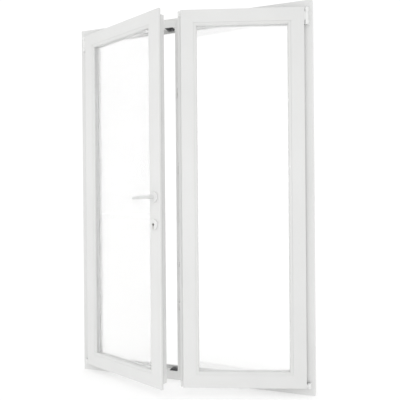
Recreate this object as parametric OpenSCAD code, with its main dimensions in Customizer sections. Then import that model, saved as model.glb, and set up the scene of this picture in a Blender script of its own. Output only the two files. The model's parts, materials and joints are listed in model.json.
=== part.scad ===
// French doors: a fixed outer frame with two inward-opening leaves, drawn partly open.
// X runs along the width, Y from the room to the outside, Z up.
// The origin is the centre of the sill's bottom face.

/* [Frame] */
// Overall width of the frame
frame_w = 1400; // [1150:10:1900]
// Overall height of the frame
frame_h = 2100; // [1750:10:2550]
// Height of a frame bar up to its platform, under the leaf
platform_h = 50; // [42:1:62]
// Height of the outer lip above the platform
outer_lip_h = 18; // [15:1:22]
// Thickness of the outer lip
outer_lip_t = 16; // [13:1:20]
// Thickness of the plastic walls
wall_t = 3; // [2.4:0.1:3.4]

/* [Leaf] */
// Angle at which the left leaf stands open
left_open = 23.3; // [0:0.1:60]
// Angle at which the right leaf stands open
right_open = 16.8; // [0:0.1:60]
// Width of the flat face from the leaf's edge to the bead
leaf_face_w = 70; // [64:1:84]
// Overlap of the leaf's lip on the frame
lip_overlap = 8; // [6:0.5:10]
// Air gap between the frame's platform and the leaf's edge
edge_gap = 12; // [11.5:0.5:15]
// Thickness of the leaf's lip
lip_t = 16; // [13.5:0.5:20]
// Gap that each compressed seal fills
seal_gap = 4; // [3:0.5:5]
// Gap between the two leaves' lips when both are closed
middle_gap = 8; // [6:0.5:10]
// Thickness of the leaf's outer lip, behind the glass
leaf_rear_t = 18; // [15:1:22]

/* [Glazing] */
// Thickness of one pane
pane_t = 4; // [3:0.5:5]
// Width of the cavity between the panes
cavity_t = 16; // [12:1:20]
// Depth of the inner pane behind the leaf's face
glass_depth = 16; // [14:1:20]
// Width of the glazing bead seen from the room
bead_w = 16; // [13:1:20]
// Depth that the bead and the glass reach into the leaf
glass_bite = 15; // [12:1:17]
// Thickness of the glass seals
glass_seal_t = 2; // [1.5:0.5:3]

/* [Hinges] */
// Height of a hinge
hinge_h = 92; // [75:1:115]
// Height of a bottom hinge
hinge_low_h = 28; // [24:1:60]
// Distance from the leaf's edge out to the hinge axis
hinge_out = 14; // [12:0.5:17]
// Distance from the frame's face to the hinge axis
hinge_proud = 12; // [11.5:0.5:14]
// Radius of a hinge knuckle
knuckle_r = 8.5; // [7:0.5:9]
// Radius of a hinge pin
pin_r = 4; // [3:0.5:5]

/* [Lock] */
// Height of the handle's spindle above the floor
handle_z = 1061; // [900:1:1250]
// Distance from the spindle down to the lock cylinder
lock_spacing = 146; // [122:1:180]
// Distance from the leaf's edge to the spindle and the cylinder
backset = 45; // [43:1:47]
// Radius of the roses and key rosettes
rose_r = 29; // [24:1:34]
// Thickness of a rose or key rosette
rose_t = 9; // [7:1:11]
// Half the width of the narrow plate on the outer side
narrow_r = 15; // [12:0.5:16]
// Length of the lever from the spindle to its tip
lever_len = 122; // [105:1:146]
// Distance that the lever stands off the leaf
lever_standoff = 50; // [42:1:60]
// Side of the square spindle
spindle_a = 8; // [7:0.5:8]
// Radius of the lock cylinder's round part
cylinder_r = 8.5; // [8:0.5:9.5]
// Throw of the dead bolt
bolt_throw = 20; // [17:1:22]
// Travel of the drive rods, and of their roller cams
rod_throw = 12; // [10:1:14]
// Radius of a roller cam
cam_r = 4; // [3.5:0.5:4.5]

/* [Meeting post] */
// Gap between the post's upper end and the head's platform
post_top_gap = 12; // [12:1:16]
// Gap between the post's lower end and the sill's platform
post_bottom_gap = 16; // [12:1:20]
// Reach of the post's outer flange behind its own leaf
post_back_w = 30; // [24:1:36]
// Throw of the shoot bolts
shoot_throw = 11; // [9:1:13]
// Radius of a shoot bolt
shoot_r = 5; // [4:0.5:6]

/* [Hidden] */
$fn = 48;

// Colours
white = [0.93, 0.93, 0.92];
bead_white = [0.88, 0.88, 0.87];
steel = [0.62, 0.64, 0.66];
dark_steel = [0.4, 0.41, 0.43];
seal_grey = [0.35, 0.35, 0.36];
glass_tint = [0.8, 0.9, 0.92, 0.35];

// Clearances
run_gap = 0.05;   // a pin or a shaft in its bore
fit_gap = 0.3;    // a piece in its pocket
steel_gap = 0.5;  // a steel bar in its chamber
far = 400;        // longer than any section is deep

// Main sizes, worked out from the driving ones
frame_lip_h = platform_h + outer_lip_h;
unit_t = 2 * pane_t + cavity_t;
leaf_depth = glass_depth + unit_t + glass_seal_t + leaf_rear_t;
proud = lip_t + seal_gap;
leaf_rear_y = leaf_depth - proud;
outer_lip_y = leaf_rear_y + seal_gap;
frame_depth = outer_lip_y + outer_lip_t;
frame_visible = platform_h - lip_overlap;
leaf_edge_a = lip_overlap + edge_gap;
leaf_x = frame_w / 2 - frame_visible;
leaf_w = leaf_x - middle_gap / 2;
leaf_h = frame_h - 2 * frame_visible;
axis_x = leaf_x + hinge_out;

// Leaf section, measured inwards from the leaf's edge
bead_edge_a = leaf_face_w + bead_w;
glass_edge_a = bead_edge_a - glass_bite;
rebate_floor_a = glass_edge_a - 5;
rear_lip_a = bead_edge_a - 6;
nib_t = 3;

// Hardware groove in the leaf's edge
groove_d = lip_t + 13;
groove_w = 16;
groove_h = 3;
rod_groove_w = 12;
rod_groove_h = 8;
strip_t = 2.6;
rod_w = 10;
rod_t = 3;
cam_h = 8;

// Lock
spindle_u = leaf_w - backset;
cylinder_z = handle_z - lock_spacing;
latch_z = handle_z + 144;
bolt_z = cylinder_z + 45;
case_z0 = cylinder_z - 55;
case_z1 = latch_z + 45;
case_t = 14;
case_a0 = leaf_edge_a + 7.5;
case_a1 = rebate_floor_a - wall_t - steel_gap;
latch_h = 44;
latch_out = 8.5;
bolt_h = 34;
bolt_t = 11;
cam_zs = [460, handle_z + 554];
rod_end_gap = 90;
bottom_cam_u = leaf_w - 113;
top_cam_u = bottom_cam_u + 10;
keep_back = 26;
keep_taper = 7;

// Meeting post
post_platform_e = middle_gap + lip_overlap;
post_lip_e = post_platform_e + outer_lip_h;
post_d0 = proud;
post_lip_d = post_d0 + outer_lip_y;
post_d1 = proud + frame_depth;
post_seat_e = -leaf_edge_a;
post_z0 = platform_h + post_bottom_gap - frame_visible;
post_z1 = leaf_h - (platform_h + post_top_gap - frame_visible);
cap_t = 3;
flange_gap = 1;
cap_steps = [for (gap = [post_bottom_gap, post_top_gap]) max(1, outer_lip_h + flange_gap - gap)];
tongue_edge = 0.5;
shoot_d = post_d0 + 25;
shoot_e = 1;
slider_z = 695;
slider_len = 120;
slider_d = shoot_d;
slider_w = 12;
slider_t = 5;
shoot_keep_h = 9;

// Fixing holes through the jambs
fixing_r = 5;
fixing_zs = [frame_h / 2 - 800, frame_h / 2, frame_h / 2 + 800];
steel_margin = 95;

// A corner of an outline, as an arc of radius r: each outline point is [x, y, r]
function turn(v, a) = [v[0] * cos(a) - v[1] * sin(a), v[0] * sin(a) + v[1] * cos(a)];
function arc_corner(p, q, s, r, n = 4) =
  let (a = (p - q) / norm(p - q), b = (s - q) / norm(s - q))
  let (half = acos(a * b) / 2, side = sign(a[0] * b[1] - a[1] * b[0]))
  let (c = q + (a + b) / norm(a + b) * r / sin(half), v = q + a * r / tan(half) - c)
  [for (i = [0:n]) c + turn(v, -side * (180 - 2 * half) * i / n)];
function xy(p) = [p[0], p[1]];
function rounded(pts) = [
  for (i = [0:len(pts) - 1])
    let (p = xy(pts[(i + len(pts) - 1) % len(pts)]), q = xy(pts[i]), s = xy(pts[(i + 1) % len(pts)]))
    each (pts[i][2] > 0 ? arc_corner(p, q, s, pts[i][2]) : [q])
];

// ---- Sections: x is the depth from the room side, y the distance in from the outer edge ----

module frame_section() {
  y1 = frame_depth;
  difference() {
    polygon(rounded([
      [0, 0, 1], [0, platform_h, 1.5], [outer_lip_y, platform_h, 0],
      [outer_lip_y, frame_lip_h, 1.5], [y1, frame_lip_h, 2.5], [y1, 0, 1]
    ]));
    translate([wall_t, wall_t]) square([10, platform_h - 2 * wall_t]);
    translate([2 * wall_t + 10, wall_t])
      square([outer_lip_y - 2 * wall_t - 10, platform_h - 2 * wall_t]);
    translate([outer_lip_y + wall_t, wall_t])
      square([outer_lip_t - 2 * wall_t, frame_lip_h - 2 * wall_t]);
  }
}

frame_steel_d0 = 2 * wall_t + 10 + steel_gap;
frame_steel_d1 = outer_lip_y - steel_gap;

module leaf_section() {
  d1 = leaf_depth;
  rear_d = d1 - leaf_rear_t;
  difference() {
    polygon(rounded([
      [0, 0, 3], [0, leaf_face_w, 0.8], [nib_t, leaf_face_w, 0], [nib_t, rebate_floor_a, 0],
      [rear_d, rebate_floor_a, 0], [rear_d, rear_lip_a, 1], [d1, rear_lip_a, 3],
      [d1, leaf_edge_a, 2], [lip_t, leaf_edge_a, 0], [lip_t, 0, 1]
    ]));
    translate([groove_d - groove_w / 2, leaf_edge_a - 1]) square([groove_w, groove_h + 1]);
    translate([groove_d - rod_groove_w / 2, leaf_edge_a]) square([rod_groove_w, groove_h + rod_groove_h]);
    translate([wall_t, wall_t]) square([lip_t - 2 * wall_t, rebate_floor_a - 2 * wall_t]);
    translate([lip_t, chamber_a0]) square([rear_d - lip_t, chamber_a1 - chamber_a0]);
    translate([rear_d + wall_t, leaf_edge_a + wall_t])
      square([leaf_rear_t - 2 * wall_t, rear_lip_a - leaf_edge_a - 2 * wall_t]);
  }
}

chamber_a0 = leaf_edge_a + groove_h + rod_groove_h + wall_t;
chamber_a1 = rebate_floor_a - wall_t;

module bead_section() {
  back = glass_depth - glass_seal_t;
  top = bead_edge_a;
  gap = 0.25;
  difference() {
    polygon(rounded([
      [0.6, leaf_face_w + gap, 0.5], [2.6, top - 5, 4], [7, top, 2], [back, top, 0.6],
      [back, rebate_floor_a + gap, 0], [nib_t + gap, rebate_floor_a + gap, 0],
      [nib_t + gap, leaf_face_w + gap, 0]
    ]));
    translate([nib_t + 3.2, rebate_floor_a + 2]) square([back - nib_t - 5, bead_w - 3]);
  }
}

module post_outline() {
  back_d = leaf_depth + 0.6;
  polygon(rounded([
    [post_d0, post_seat_e, 0], [post_d0, post_platform_e, 1.5], [post_lip_d, post_platform_e, 0],
    [post_lip_d, post_lip_e, 1.5], [post_d1, post_lip_e, 2.5], [post_d1, -post_back_w, 2.5],
    [back_d, -post_back_w, 1], [back_d, post_seat_e, 0]
  ]));
}

module post_section() {
  difference() {
    post_outline();
    translate([post_d0 + wall_t, post_seat_e + wall_t])
      square([post_lip_d - post_d0 - 2 * wall_t, post_platform_e - post_seat_e - 2 * wall_t]);
    translate([post_lip_d + wall_t, wall_t - post_back_w])
      square([outer_lip_t - 2 * wall_t, post_lip_e + post_back_w - 2 * wall_t]);
  }
}

// ---- Bars and rings ----

// A section run along X, cut at 45 degrees at both ends. "part" leaves a gap at each mitre.
module mitred_bar(length, reach, part = 0) {
  m = reach + 2;
  intersection() {
    rotate([90, 0, 90]) linear_extrude(length) children();
    rotate([90, 0, 0]) translate([0, 0, -far / 2]) linear_extrude(far)
      polygon([[part, 0], [length - part, 0], [length - m - part, m], [m + part, m]]);
  }
}

module swap_xz() mirror([1, 0, -1]) children();
module from_top(h) translate([0, 0, h]) mirror([0, 0, 1]) children();
module from_far_side(w) translate([w, 0, 0]) mirror([1, 0, 0]) children();

// A rectangular ring: d0 to d1 in depth, a0 to a1 in from the edge of a w by h rectangle
module ring(w, h, d0, d1, a0, a1) {
  difference() {
    translate([a0, d0, a0]) cube([w - 2 * a0, d1 - d0, h - 2 * a0]);
    translate([a1, d0 - 1, a1]) cube([w - 2 * a1, d1 - d0 + 2, h - 2 * a1]);
  }
}

// A square steel tube along X, with its section between two corners
module tube_x(x0, x1, d0, d1, a0, a1, t = 1.8) {
  difference() {
    translate([x0, d0, a0]) cube([x1 - x0, d1 - d0, a1 - a0]);
    translate([x0 - 1, d0 + t, a0 + t]) cube([x1 - x0 + 2, d1 - d0 - 2 * t, a1 - a0 - 2 * t]);
  }
}

module hole_y(x, z, d0, d1, r) translate([x, d0, z]) rotate([-90, 0, 0]) cylinder(r = r, h = d1 - d0);
module hole_x(x0, x1, y, z, r) translate([x0, y, z]) rotate([0, 90, 0]) cylinder(r = r, h = x1 - x0);

// ---- Places ----

// The frame: X from its left edge, Y from its room face, Z from the floor
module in_frame() translate([-frame_w / 2, -frame_depth / 2, 0]) children();

// A closed leaf's own space, turned open about its hinge: X from its hinge edge to its free edge,
// Y from its room face, Z from its lower edge
module swung(angle) {
  translate([-axis_x, -hinge_proud - frame_depth / 2, 0]) rotate([0, 0, -angle])
    translate([hinge_out, hinge_proud - proud, frame_visible]) children();
}
module in_left_leaf() swung(left_open) children();
module in_right_leaf() mirror([1, 0, 0]) swung(right_open) children();

// Heights are given from the floor, and turned into heights above the leaf's lower edge
function up(z) = z - frame_visible;

// ---- Frame ----

module frame_bar(length) mitred_bar(length, frame_lip_h) frame_section();

drain_xs = [frame_w / 2 - 430, frame_w / 2, frame_w / 2 + 430];
drain_slot = [26, 5];
drain_z = 22;

module frame_sill() {
  color(white) in_frame() difference() {
    frame_bar(frame_w);
    for (x = drain_xs)
      translate([x - drain_slot[0] / 2, frame_depth - wall_t - 1, drain_z])
        cube([drain_slot[0], wall_t + 2, drain_slot[1]]);
  }
}

module frame_head() color(white) in_frame() from_top(frame_h) frame_bar(frame_w);

module frame_jamb() {
  difference() {
    swap_xz() frame_bar(frame_h);
    for (z = fixing_zs)
      hole_x(-1, frame_lip_h, (frame_steel_d0 + frame_steel_d1) / 2, z, fixing_r);
  }
}

module frame_jamb_left() color(white) in_frame() frame_jamb();
module frame_jamb_right() color(white) in_frame() from_far_side(frame_w) frame_jamb();

module frame_steel_bar(length) {
  tube_x(steel_margin, length - steel_margin, frame_steel_d0, frame_steel_d1,
    wall_t + steel_gap, platform_h - wall_t - steel_gap);
}

module drilled_steel_bar() {
  difference() {
    swap_xz() frame_steel_bar(frame_h);
    for (z = fixing_zs)
      hole_x(-1, frame_lip_h, (frame_steel_d0 + frame_steel_d1) / 2, z, fixing_r + 0.5);
  }
}

module frame_steel() {
  color(steel) in_frame() {
    frame_steel_bar(frame_w);
    from_top(frame_h) frame_steel_bar(frame_w);
    drilled_steel_bar();
    from_far_side(frame_w) drilled_steel_bar();
  }
}

// The outer seal sits on the outer lip and is drawn as it lies when the leaves press on it
module frame_seal() {
  color(seal_grey) in_frame()
    ring(frame_w, frame_h, leaf_rear_y + fit_gap, outer_lip_y, frame_lip_h - 5.5, frame_lip_h - 0.5);
}

module drain_cover() {
  difference() {
    translate([-19, 0, 0]) cube([38, 5, 16]);
    translate([-16, -1, -1]) cube([32, 4, 14]);
  }
}

module drain_covers() {
  color(white) in_frame()
    for (x = drain_xs) translate([x, frame_depth, drain_z - 6]) drain_cover();
}

// A keep for a roller cam: a tapered block with a channel for the cam. The channel is open on the
// room side where the cam arrives, and walled there over the cam's locked end.
// It lies on the XY plane with the cam's free place at the origin and its travel along +X.
module cam_keep() {
  half = cam_r + fit_gap;
  wall = 3;
  x0 = -14;
  x1 = rod_throw + 22;
  difference() {
    translate([0, half + keep_back, 0]) rotate([90, 0, 0]) linear_extrude(2 * half + keep_back + wall)
      polygon([[x0, 0], [x1, 0], [x1 - keep_taper, cam_h], [x0 + keep_taper, cam_h]]);
    translate([x0 - 1, -half, 2]) cube([x1 - x0 - keep_taper - wall, 2 * half, cam_h]);
    translate([x0 - 1, -half - wall - 1, 2]) cube([cam_r + 3 - x0, half + wall + 1, cam_h]);
  }
}

cam_y = groove_d - proud;

module cam_keeps() {
  color(dark_steel) in_frame() {
    translate([frame_visible + bottom_cam_u, cam_y, platform_h]) cam_keep();
    translate([frame_visible + top_cam_u, cam_y, frame_h - platform_h]) rotate([0, 180, 0]) cam_keep();
  }
}

// Where the shoot bolts of the right leaf come down when it is closed
shoot_x = frame_w - frame_visible - leaf_w - shoot_e;
shoot_y = shoot_d - proud;

module shoot_bolt_keep() {
  difference() {
    translate([-15, -11, 0]) cube([30, 22, shoot_keep_h]);
    translate([0, 0, -1]) cylinder(r = shoot_r + fit_gap, h = shoot_keep_h + 2);
  }
}

module shoot_bolt_keeps() {
  color(dark_steel) in_frame() {
    translate([shoot_x, shoot_y, platform_h]) shoot_bolt_keep();
    translate([shoot_x, shoot_y, frame_h - platform_h]) rotate([180, 0, 0]) shoot_bolt_keep();
  }
}

// ---- Hinges: a bracket with two knuckles on the frame, an arm with one on the leaf ----

hinge_low_z = frame_visible;
hinge_top_z = frame_h - frame_visible - hinge_h;
plate_t = 2.5;

// The height of each of a bracket's two knuckles
function end_h(h) = h * 0.27;

module bore_z(h) translate([0, 0, -1]) cylinder(r = pin_r + run_gap, h = h + 2);

// The hinge axis is the Z axis, and the frame's face is at y = hinge_proud
module bracket(h) {
  difference() {
    union() {
      translate([-knuckle_r - 4, hinge_proud - plate_t, 0]) cube([2 * knuckle_r + 4, plate_t, h]);
      for (z = [0, h - end_h(h)]) {
        translate([0, 0, z]) cylinder(r = knuckle_r, h = end_h(h));
        translate([-knuckle_r, 0, z]) cube([2 * knuckle_r, hinge_proud, end_h(h)]);
      }
    }
    bore_z(h);
  }
}

module at_left_axis(z) translate([-axis_x, -hinge_proud - frame_depth / 2, z]) children();
module at_right_axis(z) mirror([1, 0, 0]) at_left_axis(z) children();

module left_top_hinge_bracket() color(white) at_left_axis(hinge_top_z) bracket(hinge_h);
module left_bottom_hinge_bracket() color(white) at_left_axis(hinge_low_z) bracket(hinge_low_h);
module right_top_hinge_bracket() color(white) at_right_axis(hinge_top_z) bracket(hinge_h);
module right_bottom_hinge_bracket() color(white) at_right_axis(hinge_low_z) bracket(hinge_low_h);

module hinge_pin(h) {
  cylinder(r = pin_r, h = h);
  translate([0, 0, h]) cylinder(r = pin_r + 2, h = 2.5);
}

module hinge_pins() {
  color(steel) {
    at_left_axis(hinge_low_z) hinge_pin(hinge_low_h);
    at_right_axis(hinge_low_z) hinge_pin(hinge_low_h);
    at_left_axis(hinge_top_z) hinge_pin(hinge_h);
    at_right_axis(hinge_top_z) hinge_pin(hinge_h);
  }
}

// The arm in the leaf's own space, with its knuckle between the bracket's two
module hinge_arm(z, h) {
  arm_z = z + end_h(h) + fit_gap;
  arm_h = h - 2 * end_h(h) - 2 * fit_gap;
  axis_d = proud - hinge_proud;
  difference() {
    union() {
      translate([-hinge_out, axis_d, arm_z]) cylinder(r = knuckle_r, h = arm_h);
      translate([-hinge_out, axis_d - 4, arm_z]) cube([hinge_out, 9, arm_h]);
      translate([-plate_t, 4, z + 2]) cube([plate_t, lip_t - 6, h - 4]);
    }
    translate([-hinge_out, axis_d, z]) bore_z(h);
  }
}

module hinge_arms() {
  hinge_arm(up(hinge_low_z), hinge_low_h);
  hinge_arm(up(hinge_top_z), hinge_h);
}

module left_hinge_arms() color(white) in_left_leaf() hinge_arms();
module right_hinge_arms() color(white) in_right_leaf() hinge_arms();

// ---- Leaf frames ----

module leaf_bar(length) mitred_bar(length, rear_lip_a) leaf_section();
module bottom_rail() leaf_bar(leaf_w);
module top_rail() from_top(leaf_h) leaf_bar(leaf_w);
module hinge_stile() swap_xz() leaf_bar(leaf_h);
module free_stile() from_far_side(leaf_w) swap_xz() leaf_bar(leaf_h);

module left_bottom_rail() color(white) in_left_leaf() bottom_rail();
module left_top_rail() color(white) in_left_leaf() top_rail();
module left_hinge_stile() color(white) in_left_leaf() hinge_stile();
module right_bottom_rail() color(white) in_right_leaf() bottom_rail();
module right_top_rail() color(white) in_right_leaf() top_rail();
module right_hinge_stile() color(white) in_right_leaf() hinge_stile();
module right_free_stile() color(white) in_right_leaf() free_stile();

module left_free_stile() {
  pocket_z = up(case_z0) - 1;
  pocket_h = case_z1 - case_z0 + 2;
  pocket_t = case_t + 2 * steel_gap;
  color(white) in_left_leaf() difference() {
    free_stile();
    translate([leaf_w - rebate_floor_a + wall_t, groove_d - pocket_t / 2, pocket_z])
      cube([rebate_floor_a - wall_t - leaf_edge_a, pocket_t, pocket_h]);
    hole_y(spindle_u, up(handle_z), -1, spindle_d + 2, spindle_a * 0.75 + 2);
    translate([spindle_u, -1, up(cylinder_z)]) lock_profile(leaf_depth + 2, fit_gap);
  }
}

function leaf_steel_d(end) = end == 0 ? lip_t + steel_gap : leaf_depth - leaf_rear_t - steel_gap;

module leaf_steel_bar(x0, x1) {
  tube_x(x0, x1, leaf_steel_d(0), leaf_steel_d(1), chamber_a0 + steel_gap, chamber_a1 - steel_gap);
}

module leaf_steels_but_free() {
  leaf_steel_bar(steel_margin, leaf_w - steel_margin);
  from_top(leaf_h) leaf_steel_bar(steel_margin, leaf_w - steel_margin);
  swap_xz() leaf_steel_bar(steel_margin, leaf_h - steel_margin);
}

// The lock case interrupts the steel of the left leaf's free stile
module left_leaf_steel() {
  color(steel) in_left_leaf() {
    leaf_steels_but_free();
    from_far_side(leaf_w) swap_xz() {
      leaf_steel_bar(steel_margin, up(case_z0) - 10);
      leaf_steel_bar(up(case_z1) + 10, leaf_h - steel_margin);
    }
  }
}

module right_leaf_steel() {
  color(steel) in_right_leaf() {
    leaf_steels_but_free();
    from_far_side(leaf_w) swap_xz() leaf_steel_bar(steel_margin, leaf_h - steel_margin);
  }
}

module lip_seal() ring(leaf_w, leaf_h, lip_t, proud - fit_gap, 1.2, lip_overlap - 1.2);

// The active leaf's seal stops where the tongues of the post's end caps take its place
module left_leaf_seal() {
  cut_h = [for (i = [0, 1]) [post_z0, leaf_h - post_z1][i] + cap_steps[i] + cap_t + fit_gap];
  color(seal_grey) in_left_leaf() difference() {
    lip_seal();
    translate([leaf_w - lip_overlap - fit_gap, 0, -1]) cube([far, far, cut_h[0] + 1]);
    from_top(leaf_h) translate([leaf_w - lip_overlap - fit_gap, 0, -1]) cube([far, far, cut_h[1] + 1]);
  }
}

module right_leaf_seal() color(seal_grey) in_right_leaf() lip_seal();

// ---- Glazing ----

module beads() {
  part = 0.1;
  reach = bead_edge_a;
  mitred_bar(leaf_w, reach, part) bead_section();
  from_top(leaf_h) mitred_bar(leaf_w, reach, part) bead_section();
  swap_xz() mitred_bar(leaf_h, reach, part) bead_section();
  from_far_side(leaf_w) swap_xz() mitred_bar(leaf_h, reach, part) bead_section();
}

module pane(d) {
  translate([glass_edge_a, d, glass_edge_a])
    cube([leaf_w - 2 * glass_edge_a, pane_t, leaf_h - 2 * glass_edge_a]);
}

module spacer() {
  spacer_w = 10;
  d0 = glass_depth + pane_t;
  ring(leaf_w, leaf_h, d0, d0 + cavity_t, glass_edge_a, glass_edge_a + spacer_w);
}

module glass_seals() {
  rear_d = leaf_depth - leaf_rear_t;
  ring(leaf_w, leaf_h, glass_depth - glass_seal_t, glass_depth, bead_edge_a - 6, bead_edge_a + 0.4);
  ring(leaf_w, leaf_h, rear_d - glass_seal_t, rear_d, rear_lip_a - 6, rear_lip_a + 0.4);
}

module left_beads() color(bead_white) in_left_leaf() beads();
module right_beads() color(bead_white) in_right_leaf() beads();
module left_inner_pane() color(glass_tint) in_left_leaf() pane(glass_depth);
module right_inner_pane() color(glass_tint) in_right_leaf() pane(glass_depth);
module left_outer_pane() color(glass_tint) in_left_leaf() pane(glass_depth + unit_t - pane_t);
module right_outer_pane() color(glass_tint) in_right_leaf() pane(glass_depth + unit_t - pane_t);
module left_spacer() color(steel) in_left_leaf() spacer();
module right_spacer() color(steel) in_right_leaf() spacer();
module left_glass_seals() color(seal_grey) in_left_leaf() glass_seals();
module right_glass_seals() color(seal_grey) in_right_leaf() glass_seals();

// ---- Lock of the left leaf ----

edge_u = leaf_w - leaf_edge_a;

// A block in the edge hardware: u is its outer end, reach its length inwards
module edge_block(u, reach, t, z, h) translate([u - reach, groove_d - t / 2, z]) cube([reach, t, h]);

// The windows for the latch and the dead bolt
module bolt_windows(u, reach) {
  for (bolt = [[latch_z, latch_h], [bolt_z, bolt_h]])
    edge_block(u, reach, bolt_t + 2 * fit_gap, up(bolt[0]) - bolt[1] / 2 - fit_gap, bolt[1] + 2 * fit_gap);
}

module lock_faceplate() {
  slot_w = 2 * cam_r + 2 * fit_gap;
  color(steel) in_left_leaf() difference() {
    edge_block(edge_u, strip_t, groove_w - 2 * fit_gap, rod_end_gap - 20, leaf_h - 2 * rod_end_gap + 40);
    bolt_windows(edge_u + 1, strip_t + 2);
    for (z = cam_zs)
      edge_block(edge_u + 1, strip_t + 2, slot_w, up(z) - slot_w / 2, rod_throw + slot_w);
  }
}

// The cylinder's outline: a round part with a narrower tail below it
module lock_profile(length, gap = 0) {
  rotate([-90, 0, 0]) linear_extrude(length) {
    circle(r = cylinder_r + gap);
    translate([-5 - gap, 0]) square([10 + 2 * gap, cylinder_r + 11.5 + gap]);
    translate([0, cylinder_r + 11.5]) circle(r = 5 + gap);
  }
}

module lock_case() {
  shell = 1.6;
  depth = case_a1 - case_a0;
  z0 = up(case_z0);
  h = case_z1 - case_z0;
  color(steel) in_left_leaf() difference() {
    edge_block(leaf_w - case_a0, depth, case_t, z0, h);
    edge_block(
      leaf_w - case_a0 - shell, depth - 2 * shell, bolt_t + 2 * fit_gap, z0 + shell, h - 2 * shell
    );
    bolt_windows(leaf_w - case_a0 + 1, shell + 2);
    hole_y(spindle_u, up(handle_z), 0, leaf_depth, spindle_a * 0.75 + 0.1);
    translate([spindle_u, 0, up(cylinder_z)]) lock_profile(leaf_depth, 0.1);
  }
}

module rose_disc() {
  rotate([90, 0, 0]) rotate_extrude()
    polygon(rounded([[0, 0, 0], [rose_r, 0, 0], [rose_r, rose_t, 2.5], [0, rose_t, 0]]));
}

// The outer side has a narrow plate, which clears the post's flange when both leaves are closed
module narrow_plate() {
  rotate([90, 0, 0]) linear_extrude(rose_t) {
    for (s = [-1, 1]) translate([0, s * (rose_r - narrow_r)]) circle(r = narrow_r);
    square([2 * narrow_r, 2 * (rose_r - narrow_r)], center = true);
  }
}

neck_r = 9.5;

module rose() {
  difference() {
    rose_disc();
    rotate([90, 0, 0]) translate([0, 0, -1]) cylinder(r = neck_r + run_gap * 2, h = rose_t + 2);
  }
}

module key_rosette() {
  difference() {
    children();
    translate([0, -rose_t - 1, 0]) lock_profile(rose_t + 2, 0.2);
  }
}

// The room side and the outer side of the left leaf, at a height
module on_room_face(z) translate([spindle_u, 0, up(z)]) children();
module on_outer_face(z) translate([spindle_u, leaf_depth, up(z)]) mirror([0, 1, 0]) children();

module handle_rose() color(white) in_left_leaf() on_room_face(handle_z) rose();
module inside_key_rosette()
  color(white) in_left_leaf() on_room_face(cylinder_z) key_rosette() rose_disc();
module outside_key_rosette()
  color(white) in_left_leaf() on_outer_face(cylinder_z) key_rosette() narrow_plate();

plug_r = 6;
cylinder_end = rose_t - 1.5;

module lock_cylinder() {
  length = leaf_depth + 2 * cylinder_end;
  color(steel) in_left_leaf() translate([spindle_u, -cylinder_end, up(cylinder_z)]) difference() {
    lock_profile(length);
    translate([0, -1, 0]) rotate([-90, 0, 0]) cylinder(r = plug_r + run_gap, h = length + 2);
  }
}

// One plug on the cylinder's axis, with a key slot in both ends
module key_plug() {
  length = leaf_depth + 2 * cylinder_end;
  color(dark_steel) in_left_leaf() translate([spindle_u, -cylinder_end, up(cylinder_z)]) difference() {
    rotate([-90, 0, 0]) cylinder(r = plug_r, h = length);
    for (y = [-1, length - 22])
      translate([-1.2, y, -4.5]) cube([2.4, 23, 9]);
  }
}

// A round neck over the spindle, and a grip that runs towards the hinges and droops
module lever_form() {
  grip_r = 8.5;
  start = rose_t * 0.4;
  y = -lever_standoff;
  grip = [
    [[0, y, 0], neck_r], [[-lever_len * 0.2, y - 2, 0], grip_r + 0.6],
    [[-lever_len * 0.6, y - 3, -1], grip_r], [[-lever_len * 0.86, y - 1, -3], grip_r - 0.8],
    [[6 - lever_len, y + 4, -6], 6]
  ];
  difference() {
    union() {
      rotate([90, 0, 0]) translate([0, 0, start]) cylinder(r = neck_r, h = lever_standoff - start);
      for (i = [0:len(grip) - 2])
        hull() for (k = [i, i + 1])
          translate(grip[k][0]) scale([1, 0.8, 1]) sphere(r = grip[k][1], $fn = 28);
    }
    translate([-spindle_a / 2 - 0.1, -lever_standoff + 8, -spindle_a / 2 - 0.1])
      cube([spindle_a + 0.2, lever_standoff, spindle_a + 0.2]);
  }
}

module lever() color(white) in_left_leaf() on_room_face(handle_z) lever_form();

// The only handle is on the room side, so the spindle and its hole end behind the lock case
spindle_d = groove_d + case_t / 2 + 3;

module spindle() {
  end = lever_standoff - 10;
  color(steel) in_left_leaf() translate([spindle_u - spindle_a / 2, -end, up(handle_z) - spindle_a / 2])
    cube([spindle_a, spindle_d + end, spindle_a]);
}

// The latch bolt is bevelled on the side that meets the keep first as the leaf closes
module latch_bolt() {
  tip = edge_u + latch_out;
  tail = leaf_w - case_a1 + 13;
  half = bolt_t / 2;
  color(steel) in_left_leaf() translate([0, groove_d, up(latch_z) - latch_h / 2]) linear_extrude(latch_h)
    polygon([[tail, -half], [tip, -half], [tip, -half + 3], [edge_u + 1, half], [tail, half]]);
}

module dead_bolt() {
  color(steel) in_left_leaf()
    edge_block(edge_u - 0.2, bolt_throw + 17, bolt_t, up(bolt_z) - bolt_h / 2, bolt_h);
}

// A roller cam on the leaf's edge, its axis along X
module cam(u0, z) hole_x(u0, edge_u + cam_h, groove_d, z, cam_r);

module drive_rods() {
  rod_u = edge_u - groove_h - 0.3;
  spans = [[rod_end_gap, up(case_z0) - 14], [up(case_z1) + 2, leaf_h - rod_end_gap - rod_throw]];
  color(steel) in_left_leaf()
    for (i = [0, 1]) {
      edge_block(rod_u, rod_t, rod_w, spans[i][0], spans[i][1] - spans[i][0]);
      cam(rod_u - 1, up(cam_zs[i]));
    }
}

// A strip with one cam, for the bottom rail's edge groove
module rail_rod(cam_u) {
  strip_d = groove_d - groove_w / 2 + fit_gap;
  translate([cam_u - 150, strip_d, leaf_edge_a + groove_h - strip_t])
    cube([220, groove_w - 2 * fit_gap, strip_t]);
  translate([cam_u, groove_d, leaf_edge_a - cam_h]) cylinder(r = cam_r, h = cam_h + 2);
}

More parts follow.
